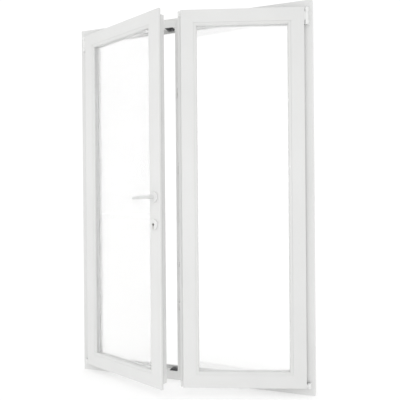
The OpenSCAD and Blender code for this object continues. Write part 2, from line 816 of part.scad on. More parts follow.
module bottom_rod() color(steel) in_left_leaf() rail_rod(bottom_cam_u);
module top_rod() color(steel) in_left_leaf() from_top(leaf_h) rail_rod(top_cam_u);

// ---- Meeting post on the right leaf's free edge ----

// The space of the post: X outwards from the leaf's free edge
module at_free_edge() in_right_leaf() translate([leaf_w, 0, 0]) children();

module post_run(z0, z1) translate([0, 0, z0]) linear_extrude(z1 - z0) mirror([1, -1]) children();

slider_pocket_z0 = up(slider_z) - slider_len / 2 - fit_gap;

module meeting_post() {
  color(white) at_free_edge() difference() {
    post_run(post_z0 + cap_steps[0] + cap_t, post_z1 - cap_steps[1] - cap_t) post_section();
    translate([post_platform_e - wall_t - 1, slider_d - slider_w / 2 - fit_gap, slider_pocket_z0])
      cube([wall_t + 2, slider_w + 2 * fit_gap, slider_len + shoot_throw + 2 * fit_gap]);
    translate([post_platform_e - wall_t - 1, groove_d - bolt_t / 2 - 1, up(bolt_z) - bolt_h / 2 - 1])
      cube([wall_t + 2, bolt_t + 2, bolt_h + 2]);
  }
}

// A cap closes an end of the post and guides a shoot bolt. Near the frame it is only as deep as
// the leaf, so that it stays inside the frame's outer lip and its seal. A thin tongue in front of
// the frame carries the post's face on to the leaf's end, a distance reach away.
module post_end_cap(step, reach) {
  guide_h = 25;
  tongue_d = lip_t + fit_gap;
  tongue_w = post_platform_e - 2 * tongue_edge;
  difference() {
    union() {
      translate([tongue_edge, tongue_d, tongue_edge - reach])
        cube([tongue_w, seal_gap - 2 * fit_gap, reach + step + cap_t - tongue_edge]);
      translate([tongue_edge, tongue_d, 0]) cube([tongue_w, post_d0 - tongue_d, step + cap_t]);
      post_run(0, step) translate([post_d0, post_seat_e])
        square([leaf_depth - post_d0, post_platform_e - post_seat_e]);
      post_run(step, step + cap_t) post_outline();
      translate([shoot_e, shoot_d, 0]) cylinder(r = shoot_r + 4, h = guide_h);
    }
    translate([shoot_e, shoot_d, -1]) cylinder(r = shoot_r + run_gap, h = guide_h + 2);
  }
}

module post_end_caps() {
  color(white) at_free_edge() {
    translate([0, 0, post_z0]) post_end_cap(cap_steps[0], post_z0);
    from_top(post_z1) post_end_cap(cap_steps[1], leaf_h - post_z1);
  }
}

// A cam keep, turned onto the post's platform with the cam's travel upwards
module post_cam_keep(z) {
  translate([post_platform_e, groove_d, z]) rotate([0, -90, 0]) mirror([0, 0, 1]) cam_keep();
}

module lock_keeps() {
  strike_z0 = up(bolt_z) - bolt_h / 2 - 20;
  strike_z1 = up(latch_z) + latch_h / 2 + 20;
  color(dark_steel) at_free_edge() {
    for (z = cam_zs) post_cam_keep(up(z));
    difference() {
      union() {
        translate([post_platform_e, groove_d - 8, strike_z0]) cube([2, 16, strike_z1 - strike_z0]);
        translate([post_platform_e, groove_d - 8.5, up(latch_z) - latch_h / 2]) cube([6, 2, latch_h]);
      }
      translate([post_platform_e - 1, groove_d - bolt_t / 2 - 1, up(bolt_z) - bolt_h / 2 - 1])
        cube([4, bolt_t + 2, bolt_h + 2]);
    }
  }
}

// The slider lies in the post's slot, with a finger ridge and a rack that drives both bolts
module bolt_slider() {
  z0 = up(slider_z) - slider_len / 2;
  color(steel) at_free_edge() {
    translate([post_platform_e - slider_t, slider_d - slider_w / 2, z0])
      cube([slider_t, slider_w, slider_len]);
    for (k = [-1, 0, 1])
      translate([post_platform_e - 1, slider_d - slider_w / 2 + 1, z0 + slider_len / 2 + k * 9 - 2])
        cube([5, slider_w - 2, 4]);
  }
}

// A shoot bolt: a round rod with a flattened foot beside the slider
module shoot_bolt(z0, z1, foot_z) {
  foot_h = 30;
  translate([shoot_e, shoot_d, z0]) cylinder(r = shoot_r, h = z1 - z0);
  translate([shoot_e, shoot_d - 2, foot_z])
    cube([post_platform_e - slider_t - shoot_e - fit_gap, 4, foot_h]);
}

shoot_rest = shoot_keep_h + 2.5;

module top_shoot_bolt() {
  color(steel) at_free_edge()
    shoot_bolt(up(slider_z) + 25, leaf_h - (platform_h + shoot_rest - frame_visible), up(slider_z) + 25);
}

module bottom_shoot_bolt() {
  color(steel) at_free_edge()
    shoot_bolt(platform_h + shoot_rest - frame_visible, up(slider_z) - 25, up(slider_z) - 55);
}

frame_sill();
frame_head();
frame_jamb_left();
frame_jamb_right();
frame_steel();
frame_seal();
drain_covers();
cam_keeps();
shoot_bolt_keeps();
left_top_hinge_bracket();
left_bottom_hinge_bracket();
right_top_hinge_bracket();
right_bottom_hinge_bracket();
hinge_pins();
left_bottom_rail();
left_top_rail();
left_hinge_stile();
left_free_stile();
left_leaf_steel();
left_leaf_seal();
left_beads();
left_inner_pane();
left_outer_pane();
left_spacer();
left_glass_seals();
left_hinge_arms();
lock_faceplate();
lock_case();
handle_rose();
inside_key_rosette();
outside_key_rosette();
lock_cylinder();
key_plug();
lever();
spindle();
latch_bolt();
dead_bolt();
drive_rods();
top_rod();
bottom_rod();
right_bottom_rail();
right_top_rail();
right_hinge_stile();
right_free_stile();
right_leaf_steel();
right_leaf_seal();
right_beads();
right_inner_pane();
right_outer_pane();
right_spacer();
right_glass_seals();
right_hinge_arms();
meeting_post();
post_end_caps();
lock_keeps();
bolt_slider();
top_shoot_bolt();
bottom_shoot_bolt();
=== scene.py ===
import json
import math

import bmesh
import bpy
from mathutils import Matrix, Vector


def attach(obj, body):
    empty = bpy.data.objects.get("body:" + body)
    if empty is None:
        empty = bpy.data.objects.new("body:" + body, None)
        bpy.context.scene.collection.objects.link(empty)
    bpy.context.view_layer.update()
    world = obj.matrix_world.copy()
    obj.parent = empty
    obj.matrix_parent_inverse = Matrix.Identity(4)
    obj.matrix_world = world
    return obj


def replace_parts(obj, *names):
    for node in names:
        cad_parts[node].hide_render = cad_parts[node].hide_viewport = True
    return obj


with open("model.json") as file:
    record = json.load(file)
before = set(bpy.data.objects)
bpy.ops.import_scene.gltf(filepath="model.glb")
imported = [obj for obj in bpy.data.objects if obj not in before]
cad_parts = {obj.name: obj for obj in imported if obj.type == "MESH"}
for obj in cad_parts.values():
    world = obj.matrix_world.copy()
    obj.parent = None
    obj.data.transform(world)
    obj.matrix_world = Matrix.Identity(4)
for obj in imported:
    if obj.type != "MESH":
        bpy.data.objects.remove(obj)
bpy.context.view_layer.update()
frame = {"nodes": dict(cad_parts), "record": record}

MM = 0.001

# The CAD's sizes in millimetres. A leaf's own space: X from its hinge edge, Y from its room face,
# Z from its lower edge.
FRAME_W, FRAME_H, FRAME_D = 1400, 2100, 60
LEAF_W, LEAF_H = 654, 2016
VISIBLE = 42  # the frame's face left free by a closed leaf
PROUD = 20  # how far a closed leaf stands in front of the frame
HINGE_OUT, HINGE_PROUD, HINGE_H = 14, 12, 92
AXIS_X, AXIS_Y = 672, -42  # the hinge axes, from the model's middle
LEFT_OPEN, RIGHT_OPEN = 23.3, 16.8  # degrees
BACKSET, HANDLE_Z = 45, 1061
ROSE_T = 9
LEVER_LEN, LEVER_OFF = 122, 50
SPACER_MID = 28


def turn_z(degrees):
    return Matrix.Rotation(math.radians(degrees), 4, "Z")


def leaf_space(angle):
    """From a leaf's own space, in millimetres, to the model's."""
    to_axis = Matrix.Translation((HINGE_OUT, HINGE_PROUD - PROUD, VISIBLE))
    return Matrix.Translation((-AXIS_X, AXIS_Y, 0)) @ turn_z(-angle) @ to_axis


MIRROR_X = Matrix.Diagonal((-1, 1, 1, 1))
LEFT = leaf_space(LEFT_OPEN)
RIGHT = MIRROR_X @ leaf_space(RIGHT_OPEN)
FRAME = Matrix.Translation((-FRAME_W / 2, -FRAME_D / 2, 0))
SPACES = {"frame": FRAME, "left_leaf": LEFT, "right_leaf": RIGHT, "lever_handle": LEFT}

# ---- Camera and light ----

# Fitted to the corners of the frame and the leaves. Metres and degrees.
CAMERA_PLACE = (0.9645, -2.7412, 1.0345)
CAMERA_TURN, CAMERA_DIP, CAMERA_ROLL = 19.54, 0.137, -0.473
CAMERA_LENS, SENSOR_W = 45.0, 36
CAMERA_SHIFT = (0.0265, 0.0075)
SKY_STRENGTH = 1.07

scene = bpy.context.scene
scene.view_settings.view_transform = "Standard"

camera_data = bpy.data.cameras.new("camera")
camera_data.sensor_width = SENSOR_W
camera_data.lens = CAMERA_LENS
camera_data.shift_x, camera_data.shift_y = CAMERA_SHIFT
camera_data.clip_start = 0.01
camera = bpy.data.objects.new("camera", camera_data)
aim = turn_z(CAMERA_TURN) @ Matrix.Rotation(math.radians(90 - CAMERA_DIP), 4, "X")
roll = turn_z(CAMERA_ROLL)
camera.matrix_world = Matrix.Translation(CAMERA_PLACE) @ aim @ roll
scene.collection.objects.link(camera)
scene.camera = camera

world = bpy.data.worlds.new("studio")
world.use_nodes = True
sky = world.node_tree.nodes["Background"]
sky.inputs["Color"].default_value = (1, 1, 1, 1)
sky.inputs["Strength"].default_value = SKY_STRENGTH
scene.world = world


def soft_light(name, size, power, place, target):
    """A square light, its size in metres and its power in watts, that faces the target."""
    data = bpy.data.lights.new(name, "AREA")
    data.shape = "SQUARE"
    data.size = size
    data.energy = power
    light = bpy.data.objects.new(name, data)
    light.location = place
    direction = Vector(target) - Vector(place)
    light.rotation_euler = direction.to_track_quat("-Z", "Y").to_euler()
    scene.collection.objects.link(light)


soft_light("key", size=2.5, power=3, place=(-1.6, -3.6, 2.6), target=(0, 0, 1.0))
soft_light("front", size=1.2, power=1.6, place=(0.1, -1.7, 1.05), target=(0, 0, 1.05))

# ---- Materials ----

HOLE_PITCH, HOLE_ROW = 0.005, 0.0045  # metres; the spacer's holes, and their rows from its middle
PVC_TONE, BEAD_TONE = (0.735, 0.737, 0.731), (0.72, 0.723, 0.715)
FLOOR_GLOW = 0.46  # the floor gives off part of its light, to come out as white as the photo's


class Nodes:
    """A short way to write a node material."""

    def __init__(self, name, roughness=0.4, metallic=0.0, colour=(0.8, 0.8, 0.8)):
        self.material = bpy.data.materials.new(name)
        self.material.use_nodes = True
        self.tree = self.material.node_tree
        self.shader = self.tree.nodes["Principled BSDF"]
        self.set("Base Color", (*colour, 1))
        self.set("Roughness", roughness)
        self.set("Metallic", metallic)

    def set(self, socket, value):
        self.shader.inputs[socket].default_value = value

    def wire(self, value, socket):
        if isinstance(value, (int, float, tuple)):
            socket.default_value = value
        else:
            self.tree.links.new(value, socket)

    def to(self, socket, value):
        self.tree.links.new(value, self.shader.inputs[socket])

    def add(self, kind, outlet=0, inputs=None, **facts):
        node = self.tree.nodes.new("ShaderNode" + kind)
        for key, value in facts.items():
            setattr(node, key, value)
        for key, value in (inputs or {}).items():
            self.wire(value, node.inputs[key])
        return node.outputs[outlet]

    def math(self, operation, a, b=0.0, c=0.0):
        return self.add("Math", inputs={0: a, 1: b, 2: c}, operation=operation)

    def band(self, value, low, high, out_low=0.0, out_high=1.0):
        """A smooth step from out_low to out_high as value goes from low to high."""
        keys = {"Value": value, "From Min": low, "From Max": high}
        keys.update({"To Min": out_low, "To Max": out_high})
        return self.add("MapRange", inputs=keys, interpolation_type="SMOOTHSTEP")

    def place(self, rotation=0.0, location=(0, 0, 0), scale=(1, 1, 1)):
        """The point on the piece, in metres, turned about Z, moved and scaled."""
        point = self.add("TexCoord", outlet="Object")
        turn = (0, 0, math.radians(rotation))
        keys = {"Vector": point, "Location": location, "Rotation": turn, "Scale": scale}
        return self.add("Mapping", inputs=keys)

    def scaled(self, point, scale):
        return self.add("Mapping", inputs={"Vector": point, "Scale": scale})

    def noise(self, point, scale, detail=3.0, rough=0.55):
        keys = {"Vector": point, "Scale": scale, "Detail": detail, "Roughness": rough}
        return self.add("TexNoise", inputs=keys)

    def mix(self, factor, a, b):
        """A blend of two colours, each a tuple or a socket."""
        a, b = ((*c, 1) if isinstance(c, tuple) else c for c in (a, b))
        return self.add("Mix", outlet=2, inputs={"Factor": factor, 6: a, 7: b}, data_type="RGBA")

    def bump(self, height, distance, strength=1.0, normal=None):
        keys = {"Height": height, "Distance": distance, "Strength": strength}
        if normal is not None:
            keys["Normal"] = normal
        return self.add("Bump", inputs=keys)


def ring_point(n, space, width, height, depth=0):
    """The point seen from the middle of a ring of bars, and its distances from the ring's edges."""
    centre = space @ Vector((width / 2, depth, height / 2))
    angle = math.degrees(math.atan2(space[1][0], space[0][0]))
    point = n.place(rotation=-angle, location=tuple(turn_z(-angle) @ -centre * MM))
    across = n.add("SeparateXYZ", outlet=0, inputs={0: point})
    up = across.node.outputs[2]
    from_side = n.math("SUBTRACT", width * MM / 2, n.math("ABSOLUTE", across))
    from_end = n.math("SUBTRACT", height * MM / 2, n.math("ABSOLUTE", up))
    return point, across, from_side, from_end


def along_bars(n, point, upright, stretch, scale):
    """Noise drawn out along each bar: upwards in the stiles, sideways in the rails."""
    up = n.noise(n.scaled(point, (1, 1, stretch)), scale, 2)
    sideways = n.noise(n.scaled(point, (stretch, 1, 1)), scale, 2)
    return n.add("Mix", inputs={0: upright, 2: sideways, 3: up})


def pvc(name, space, width, height, tone=PVC_TONE, welded=True):
    """Extruded white PVC: faint lines along each bar, mitred at the corners with a dressed weld."""
    n = Nodes(name, roughness=0.36)
    point, _, from_side, from_end = ring_point(n, space, width, height)
    upright = n.math("LESS_THAN", from_side, from_end)
    lines = along_bars(n, point, upright, stretch=0.004, scale=620)
    broad = along_bars(n, point, upright, stretch=0.03, scale=70)
    clouds = n.noise(point, 2.2, 4)
    shade = tuple(c * 0.955 for c in tone)
    colour = n.mix(n.band(clouds, 0.3, 0.75), tone, shade)
    warm = (tone[0] * 0.985, tone[1] * 0.98, tone[2] * 0.95)
    colour = n.mix(n.band(broad, 0.5, 0.85, 0, 0.5), colour, warm)
    height_map = n.math("ADD", n.math("MULTIPLY", lines, 0.4), n.math("MULTIPLY", broad, 0.6))
    normal = n.bump(height_map, 0.00022, 0.5)
    grain = n.noise(point, 1500, 2)
    normal = n.bump(grain, 0.00003, 0.5, normal)
    if welded:
        off = n.math("ABSOLUTE", n.math("SUBTRACT", from_side, from_end))
        seam = n.band(off, 0.0006, 0.0016)
        normal = n.bump(seam, 0.0003, 0.8, normal)
        colour = n.mix(n.band(off, 0.0004, 0.0014, 0.35, 0.0), colour, shade)
    n.to("Base Color", colour)
    n.to("Roughness", n.band(broad, 0.2, 0.8, 0.3, 0.44))
    n.to("Normal", normal)
    n.set("Specular IOR Level", 0.5)
    return n.material


def spacer_bar(name, space):
    """Mill-finish aluminium with two rows of fine holes that face the cavity."""
    n = Nodes(name, roughness=0.4)
    point, across, from_side, from_end = ring_point(n, space, LEAF_W, LEAF_H, SPACER_MID)
    depth, up = across.node.outputs[1], across.node.outputs[2]
    upright = n.math("LESS_THAN", from_side, from_end)
    along = n.add("Mix", inputs={0: upright, 2: across, 3: up})
    step = n.math("MODULO", n.math("ABSOLUTE", along), HOLE_PITCH)
    step = n.math("SUBTRACT", step, HOLE_PITCH / 2)
    row = n.math("SUBTRACT", n.math("ABSOLUTE", depth), HOLE_ROW)
    squares = n.math("ADD", n.math("MULTIPLY", step, step), n.math("MULTIPLY", row, row))
    away = n.math("SQRT", squares)
    hole = n.band(away, 0.0004, 0.0007)
    clouds = n.noise(point, 40, 3)
    metal_tone = n.mix(n.band(clouds, 0.3, 0.7), (0.84, 0.845, 0.845), (0.79, 0.795, 0.795))
    # The holes are real; their dark colour is painted shade inside them.
    n.to("Base Color", n.mix(hole, (0.2, 0.2, 0.2), metal_tone))
    n.to("Roughness", n.band(clouds, 0.2, 0.8, 0.35, 0.5))
    n.to("Normal", n.bump(hole, 0.0004, 0.7))
    return n.material


def moulded(name, tone, roughness=0.38, grain=1400, depth=0.00003):
    """Almost even white with a fine grain."""
    n = Nodes(name, roughness=roughness)
    point = n.place()
    clouds = n.noise(point, 9, 1)
    shade = tuple(c * 0.975 for c in tone)
    n.to("Base Color", n.mix(n.band(clouds, 0.2, 0.8), tone, shade))
    n.to("Roughness", n.band(n.noise(point, 25, 1), 0.2, 0.8, roughness - 0.03, roughness + 0.05))
    n.to("Normal", n.bump(n.noise(point, grain, 2), depth, 0.6))
    return n.material


def metal(name, tone, dark, roughness, along=(1, 1, 1), scale=300, depth=0.00005, metallic=1.0):
    """Metal parts. A small number in along draws the fine lines out that way."""
    n = Nodes(name, metallic=metallic)
    point = n.place(scale=along)
    fine = n.noise(point, scale, 4)
    clouds = n.noise(n.place(), 35, 4)
    n.to("Base Color", n.mix(n.band(clouds, 0.3, 0.75), tone, dark))
    n.to("Roughness", n.band(fine, 0.25, 0.75, roughness - 0.08, roughness + 0.12))
    n.to("Normal", n.bump(fine, depth, 0.5))
    return n.material


def galvanised(name):
    """Zinc-coated sheet with its spangle."""
    n = Nodes(name, metallic=0.9)
    point = n.place()
    spangle = n.add("TexVoronoi", outlet="Color", inputs={"Vector": point, "Scale": 160})
    grey = n.add("SeparateColor", inputs={0: spangle})
    n.to("Base Color", n.mix(grey, (0.5, 0.52, 0.53), (0.66, 0.68, 0.69)))
    n.to("Roughness", n.band(grey, 0, 1, 0.32, 0.5))
    n.to("Normal", n.bump(grey, 0.00004, 0.4))
    return n.material


def rubber(name, tone):
    """Matt grey rubber, paler where dust lies."""
    n = Nodes(name, roughness=0.62)
    point = n.place()
    dust = n.noise(point, 45, 4)
    pale = tuple(min(1, c * 1.25 + 0.02) for c in tone)
    n.to("Base Color", n.mix(n.band(dust, 0.35, 0.8), tone, pale))
    n.to("Roughness", n.band(dust, 0.3, 0.7, 0.55, 0.75))
    n.to("Normal", n.bump(n.noise(point, 900, 2), 0.00006, 0.5))
    return n.material


def glass(name):
    """Float glass. The alpha lets light reach the spacer between the panes."""
    n = Nodes(name, roughness=0.0, colour=(1.0, 1.0, 0.998))
    n.set("Transmission Weight", 1.0)
    n.set("Alpha", 0.2)
    n.set("IOR", 1.45)
    point = n.place()
    n.to("Normal", n.bump(n.noise(point, 3.0, 1), 0.0002, 0.3))
    n.to("Roughness", n.band(n.noise(point, 6, 4), 0.55, 0.9, 0.0, 0.02))
    return n.material


white_frame = pvc("pvc_frame", FRAME, FRAME_W, FRAME_H)
white_left = pvc("pvc_left_leaf", LEFT, LEAF_W, LEAF_H)
white_right = pvc("pvc_right_leaf", RIGHT, LEAF_W, LEAF_H)
# The post is one upright bar, so its ring is taller than it, to keep its ends out of the mitres.
white_post = pvc("pvc_post", RIGHT, LEAF_W, LEAF_H * 3, welded=False)
bead_left = pvc("bead_left", LEFT, LEAF_W, LEAF_H, BEAD_TONE, welded=False)
bead_right = pvc("bead_right", RIGHT, LEAF_W, LEAF_H, BEAD_TONE, welded=False)
hinge_white = moulded("hinge_white", (0.81, 0.813, 0.806), 0.36)
handle_white = moulded("handle_white", (0.74, 0.743, 0.738), 0.28, grain=900, depth=0.00002)
# The lever is the rose's white made darker: painted shade.
lever_painted_shade = moulded("lever_painted_shade", (0.67, 0.673, 0.668), 0.26, grain=900, depth=0.00002)
cap_white = moulded("cap_white", (0.78, 0.783, 0.775), 0.5, grain=700, depth=0.00006)
seal_grey = rubber("seal_grey", (0.5, 0.5, 0.495))
clear_glass = glass("clear_glass")
spacer_left = spacer_bar("spacer_left", LEFT)
spacer_right = spacer_bar("spacer_right", RIGHT)
zinc_steel = galvanised("galvanised_steel")
strip_steel = metal("strip_steel", (0.66, 0.67, 0.68), (0.56, 0.57, 0.58), 0.34, along=(1, 1, 0.02))
pin_steel = metal("pin_steel", (0.62, 0.63, 0.64), (0.5, 0.51, 0.52), 0.3, along=(1, 1, 0.05))
dark_zinc = metal(
    "dark_zinc", (0.1, 0.1, 0.105), (0.06, 0.06, 0.062), 0.5, scale=500, depth=0.0001, metallic=0.6
)
nickel = metal("nickel", (0.62, 0.61, 0.58), (0.5, 0.49, 0.47), 0.38, along=(1, 0.05, 1), scale=600)
# The key plug is the cylinder's nickel made dark: painted shade of its keyway.
nickel_painted_shade = metal(
    "nickel_painted_shade", (0.16, 0.155, 0.15), (0.1, 0.1, 0.098), 0.42, along=(1, 0.05, 1), scale=600
)
dark_steel = metal("dark_steel", (0.3, 0.3, 0.305), (0.22, 0.22, 0.225), 0.4, along=(1, 1, 0.05))
pale_zinc = metal(
    "pale_zinc", (0.6, 0.6, 0.59), (0.52, 0.52, 0.51), 0.45, scale=500, depth=0.0001, metallic=0.3
)

# By the CAD's material slot, and by body where the lines follow a ring of bars.
MATERIALS = {
    "white_profile": {"frame": white_frame, "left_leaf": white_left, "right_leaf": white_right},
    "white_bead": {"left_leaf": bead_left, "right_leaf": bead_right},
    "hinge_white": hinge_white,
    "handle_white": handle_white,
    "cap_plastic": cap_white,
    "rubber_seal": seal_grey,
    "clear_glass": clear_glass,
    "spacer_bar": {"left_leaf": spacer_left, "right_leaf": spacer_right},
    "galvanised_steel": zinc_steel,
    "hardware_steel": strip_steel,
    "dark_zinc": dark_zinc,
    "lock_nickel": nickel,
}

# CAD nodes that differ from the rest of their slot.
SPECIAL = {
    "meeting_post": white_post,
    "lock_keeps": pale_zinc,
    # Painted shade: the plug is darkened to show its keyway.
    "key_plug": nickel_painted_shade,
    "latch_bolt": dark_zinc,
    "hinge_pins": pin_steel,
    "bolt_slider": dark_steel,
    # Painted shade: the lever gets a darker copy of the handle's white.
    "lever": lever_painted_shade,
}

# Slots and nodes whose edges stay sharp. Rounding the dead bolt left a false shade on its end.
SHARP_SLOTS = ("clear_glass", "rubber_seal", "galvanised_steel", "spacer_bar")
SHARP_NODES = ("dead_bolt",)
EDGE_RADIUS = 0.35  # millimetres

SLOT_OF = {part["node"]: part["material_slot"] for part in frame["record"]["subparts"]}
BODIES = frame["record"]["behaviour"]["bodies"]
BODY_OF = {node: body for body, nodes in BODIES.items() for node in nodes}


def soften(thing):
    """Gives a CAD piece the small rounded edges that moulding and machining leave."""
    weld = thing.modifiers.new("weld", "WELD")
    weld.merge_threshold = 0.00001
    bevel = thing.modifiers.new("edges", "BEVEL")
    bevel.width = EDGE_RADIUS * MM
    bevel.segments = 2
    bevel.limit_method = "ANGLE"
    bevel.angle_limit = math.radians(40)
    bevel.use_clamp_overlap = True
    bevel.harden_normals = True


for node, thing in frame["nodes"].items():
    material = MATERIALS[SLOT_OF[node]]
    if isinstance(material, dict):
        material = material[BODY_OF[node]]
    thing.data.materials.clear()
    thing.data.materials.append(SPECIAL.get(node, material))
    if SLOT_OF[node] not in SHARP_SLOTS and node not in SHARP_NODES:
        soften(thing)

# ---- Meshes ----


def finish_mesh(name, bm, body, material, sharp=38):
    """Makes an object of a mesh in millimetres in its body's space, and lets it ride."""
    for vert in bm.verts:
        vert.co = (SPACES[body] @ vert.co) * MM
    bmesh.ops.recalc_face_normals(bm, faces=bm.faces)
    mesh = bpy.data.meshes.new(name)
    bm.to_mesh(mesh)
    bm.free()
    mesh.shade_smooth()
    mesh.set_sharp_from_angle(angle=math.radians(sharp))
    thing = bpy.data.objects.new(name, mesh)
    scene.collection.objects.link(thing)
    thing.data.materials.append(material)
    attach(thing, body)
    return thing


def loft(bm, rings, closed_ends=True):
    """Skins rings of points that all have the same count."""
    made = [[bm.verts.new(point) for point in ring] for ring in rings]
    count = len(made[0])
    for low, high in zip(made, made[1:]):
        for i in range(count):
            j = (i + 1) % count
            bm.faces.new((low[i], low[j], high[j], high[i]))
    if closed_ends:
        bm.faces.new(made[0])
        bm.faces.new(made[-1])
    return made


def circle(count):
    """Cosines and sines all the way round."""
    turn = [2 * math.pi * i / count for i in range(count)]
    return [(math.cos(t), math.sin(t)) for t in turn]


def facing(place, normal):
    """A matrix at a place whose Z axis points along the normal."""
    return Matrix.Translation(place) @ Vector(normal).to_track_quat("Z", "Y").to_matrix().to_4x4()


# The outline of a cross recess, clockwise, in units of half an arm's width.
CROSS = [
    (1, 3), (1, 1), (3, 1), (3, -1), (1, -1), (1, -3),
    (-1, -3), (-1, -1), (-3, -1), (-3, 1), (-1, 1), (-1, 3),
]
SCREW_PROUD, SCREW_SUNK = 0.5, 0.6
SCREW_SIDES = 24


def screw(bm, place, normal, radius):
    """A countersunk head with a cross recess."""
    at = facing(place, normal)

    def ring(r, h):
        return [bm.verts.new(at @ Vector((r * c, r * s, h))) for c, s in circle(SCREW_SIDES)]

    def cross(size, h):
        return [bm.verts.new(at @ Vector((x * size, y * size, h))) for x, y in CROSS]

    def join(a, b):
        for i in range(len(a)):
            j = (i + 1) % len(a)
            bm.faces.new((a[i], a[j], b[j], b[i]))

    foot = ring(radius * 0.9, -SCREW_SUNK)
    rim = ring(radius, SCREW_PROUD * 0.5)
    top = ring(radius * 0.86, SCREW_PROUD)
    join(foot, rim)
    join(rim, top)
    bm.faces.new(foot)
    half_arm = radius * 0.17
    cross_top = cross(half_arm, SCREW_PROUD)
    cross_low = cross(half_arm * 0.7, SCREW_PROUD - radius * 0.3)
    join(cross_top, cross_low)
    bm.faces.new(cross_low)
    edges = []
    for loop in (top, cross_top):
        for i in range(len(loop)):
            a, b = loop[i], loop[(i + 1) % len(loop)]
            edges.append(bm.edges.get((a, b)) or bm.edges.new((a, b)))
    bmesh.ops.triangle_fill(bm, edges=edges, use_beauty=True)


def screws(name, body, places):
    """One piece of steel screw heads, each a place, the way it faces and its radius."""
    bm = bmesh.new()
    for place, normal, radius in places:
        screw(bm, place, normal, radius)
    finish_mesh(name, bm, body, pin_steel, sharp=30)


# ---- Lever handle ----

SPINDLE = Vector((LEAF_W - BACKSET, 0, HANDLE_Z - VISIBLE))
NECK_R = 9.3
BEND_R = 13
NECK_STEPS, BEND_STEPS, GRIP_STEPS = 8, 10, 24
SECTION_SIDES = 40
SQUARENESS = 2.35  # 2 would be a plain oval; more fills its corners out
COLLAR_SIDES = 56
# (radius, height over the rose)
COLLAR = [(9.9, 0), (13.2, 0), (13.6, 0.5), (13.2, 1.6), (11.6, 2.3), (10.4, 2.4), (9.9, 2.0)]


def lever_stations():
    """Along the lever: each section's place, the way ahead, half its height and half its thickness."""
    stations = []
    start = ROSE_T * 0.5
    for k in range(NECK_STEPS + 1):
        y = -(start + (LEVER_OFF - BEND_R - start) * k / NECK_STEPS)
        flare = 1.6 * math.exp(-k * 1.1)
        stations.append((Vector((0, y, 0)), Vector((0, -1, 0)), NECK_R + flare, NECK_R + flare))
    for k in range(1, BEND_STEPS + 1):
        t = math.pi / 2 * k / BEND_STEPS
        out = -(LEVER_OFF - BEND_R) - BEND_R * math.sin(t)
        centre = Vector((-BEND_R * (1 - math.cos(t)), out, 0))
        ahead = Vector((-math.sin(t), -math.cos(t), 0))
        squeeze = k / BEND_STEPS
        stations.append((centre, ahead, NECK_R - 0.3 * squeeze, NECK_R - 2.1 * squeeze))
    length = LEVER_LEN - BEND_R
    for k in range(1, GRIP_STEPS + 1):
        t = k / GRIP_STEPS
        swell = math.sin(math.pi * min(1, t * 1.15)) * 0.9
        place = Vector((-BEND_R - length * t, -LEVER_OFF + 4.5 * t**3, -5.5 * t**2.2))
        ahead = Vector((-length, 13.5 * t**2, -12 * t**1.2)).normalized()
        end = max(0.0, (t - 0.9) / 0.1)
        round_off = max(math.sqrt(max(0.0, 1 - end**2.4)), 0.05)
        tall, thick = 9.0 + swell - 1.4 * t, 7.2 - 1.0 * t
        stations.append((place, ahead, tall * round_off, thick * round_off))
    return stations


def superellipse(value):
    """Squares up a cosine or a sine."""
    return math.copysign(abs(value) ** (2 / SQUARENESS), value)


def lever_rings():
    """Sections along the lever: out from the rose, round a tight bend, then along the grip."""
    rings = []
    for place, ahead, tall, thick in lever_stations():
        side = ahead.cross(Vector((0, 0, 1))).normalized()
        up = side.cross(ahead).normalized()
        ring = []
        for c, s in circle(SECTION_SIDES):
            out = side * superellipse(c) * thick
            ring.append(SPINDLE + place + out + up * superellipse(s) * tall)
        rings.append(ring)
    return rings


bm = bmesh.new()
loft(bm, lever_rings())
lever = finish_mesh("lever_grip", bm, "lever_handle", lever_painted_shade, sharp=60)
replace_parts(lever, "lever")

bm = bmesh.new()
rings = []
for radius, height in COLLAR + COLLAR[:1]:
    around = circle(COLLAR_SIDES)
    rings.append([SPINDLE + Vector((radius * c, -ROSE_T - height, radius * s)) for c, s in around])
loft(bm, rings, closed_ends=False)
bmesh.ops.remove_doubles(bm, verts=bm.verts, dist=0.001)
finish_mesh("handle_collar", bm, "left_leaf", cap_white)

# ---- Rubber seals ----

# Sections as (distance in from the edge, depth), in millimetres: a lip folded over its foot,
# and a ribbed strip with a rounded nose. The frame's lip faces the other way and is narrower.
FOLDED_LIP = [
    (1.9, 16.0), (6.3, 16.0), (6.5, 16.8), (5.9, 17.4), (4.2, 17.5), (3.1, 17.7),
    (2.7, 18.1), (3.2, 18.5), (4.6, 18.75), (6.2, 18.8), (6.75, 19.1), (6.6, 19.5),
    (5.8, 19.7), (3.8, 19.65), (2.2, 19.3), (1.4, 18.5), (1.25, 17.5), (1.5, 16.5),
]
RIBBED_NOSE = [
    (0.0, 0.2), (0.0, 1.8), (0.3, 2.0), (5.8, 2.0), (6.3, 1.7), (6.4, 1.1),
    (6.2, 0.4), (5.6, 0.05), (4.5, 0.3), (3.5, 0.05), (2.3, 0.3), (1.0, 0.0),
]
LIP_START = 1.2
FRAME_SEAL_IN, FRAME_SEAL_NARROWING = 62.5, 0.892
SEAL_END, SIDE_END, SIDE_TOP = 645.7, 30.3, 1985.7  # where the post's caps take the lip's place
INNER_IN, INNER_DEPTH = 80, 14
OUTER_IN, OUTER_DEPTH = 74, 42


def corners(width, height):
    """The four corners of a ring: where each stands, and which way is inwards."""
    return [(0, 0, 1, 1), (width, 0, -1, 1), (width, height, -1, -1), (0, height, 1, -1)]


def strip(bm, section, stations, closed):
    """Runs a section of (inwards, depth) points past its stations."""
    rings = [[(x + sx * a, d, z + sz * a) for a, d in section] for x, z, sx, sz in stations]
    if not closed:
        loft(bm, rings)
        return
    made = loft(bm, rings, closed_ends=False)
    count = len(section)
    for i in range(count):
        j = (i + 1) % count
        bm.faces.new((made[-1][i], made[-1][j], made[0][j], made[0][i]))


